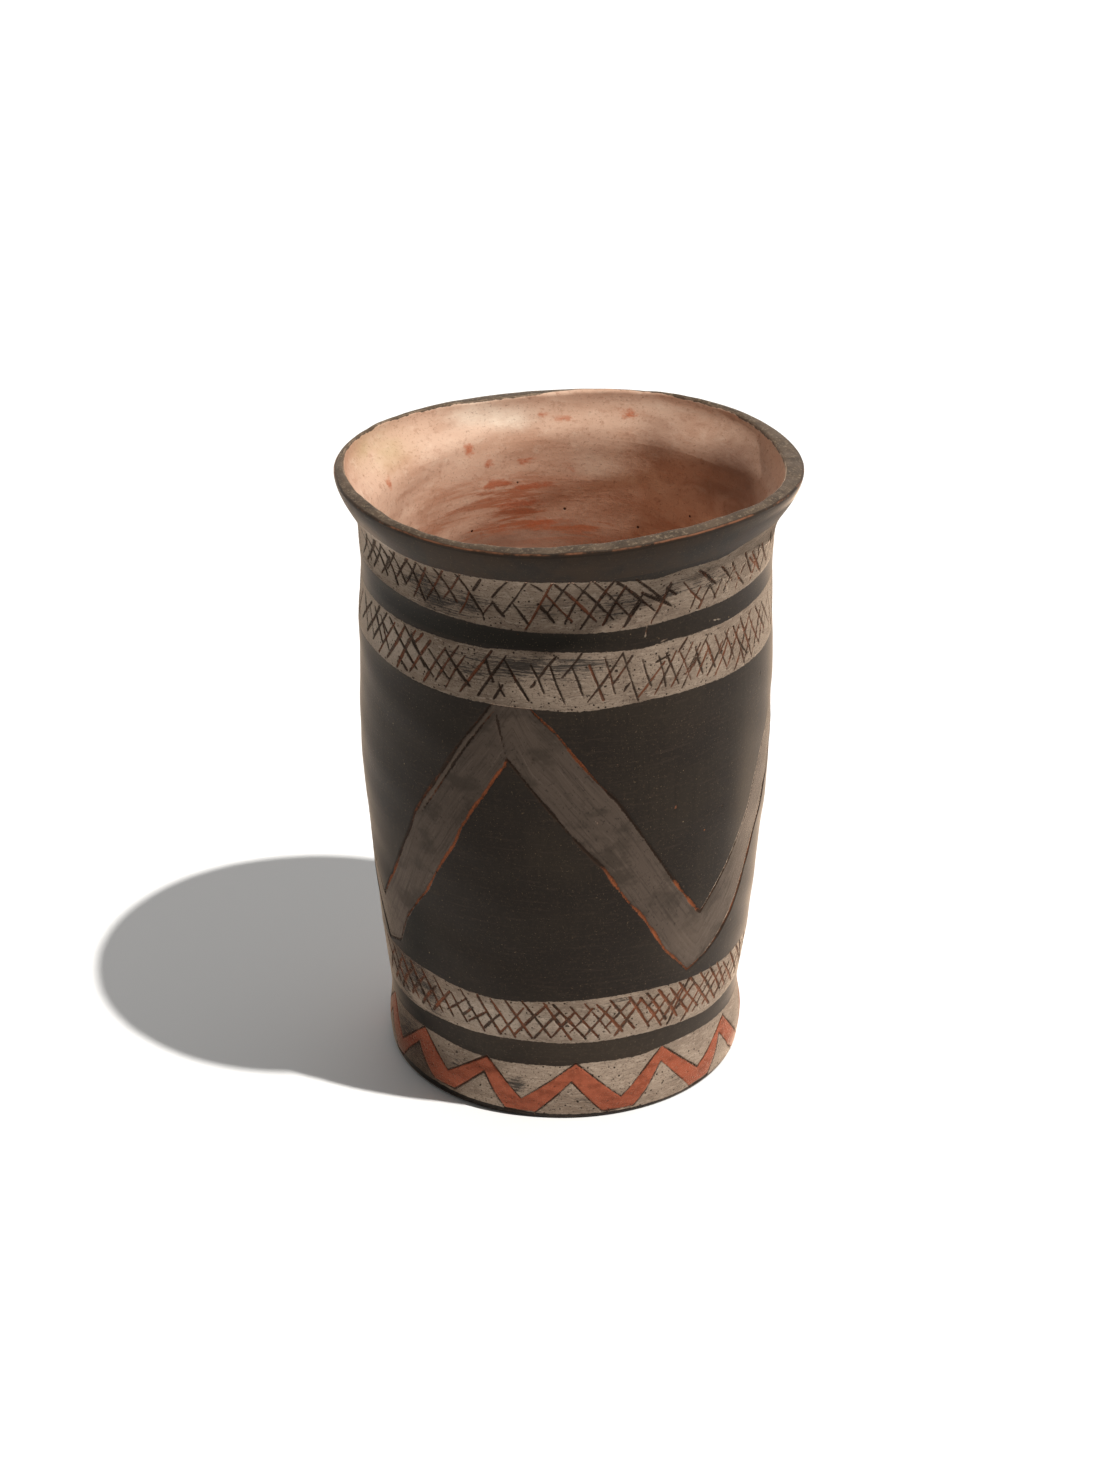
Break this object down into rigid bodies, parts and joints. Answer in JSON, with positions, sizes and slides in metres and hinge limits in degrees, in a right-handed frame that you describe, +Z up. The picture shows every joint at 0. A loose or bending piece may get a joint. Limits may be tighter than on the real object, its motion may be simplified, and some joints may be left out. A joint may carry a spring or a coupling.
{
  "type": "ceremonial cup",
  "caption": "Tall hand-built earthenware beaker with a flared uneven lip, a pinched waist, a carved chevron ribbon, hatched slip bands and a red zigzag foot.",
  "frame": {"origin": "centre of the flat underside that the beaker stands on", "axes": "+Z up along the beaker's axis, -Y toward the side with the carved peak, +X to the right of someone who looks at that side"},
  "size_m": [0.1269, 0.1269, 0.1824],
  "materials": {
    "clay_disc": "fired clay, rosy slip above and bare below",
    "rosy_slip": "rosy pink slip, wiped, satin",
    "foot_slip": "pale grey slip with a red ochre zigzag, satin",
    "hatched_slip": "pale grey slip cut with cross-hatching, matt",
    "black_burnish": "smoked black burnish with a scraped grey-brown ribbon, satin",
    "lip_burnish": "smoked brown-black burnish, worn at the edge"
  },
  "bodies": {
    "root": {"base_disc": "clay_disc", "floor_coil": "rosy_slip", "foot_strap": "foot_slip", "waist_strap": "hatched_slip", "lower_belly_strap": "black_burnish", "upper_belly_strap": "black_burnish", "shoulder_strap": "hatched_slip", "collar_strap": "hatched_slip", "lip_coil": "lip_burnish"}
  },
  "joints": []
}
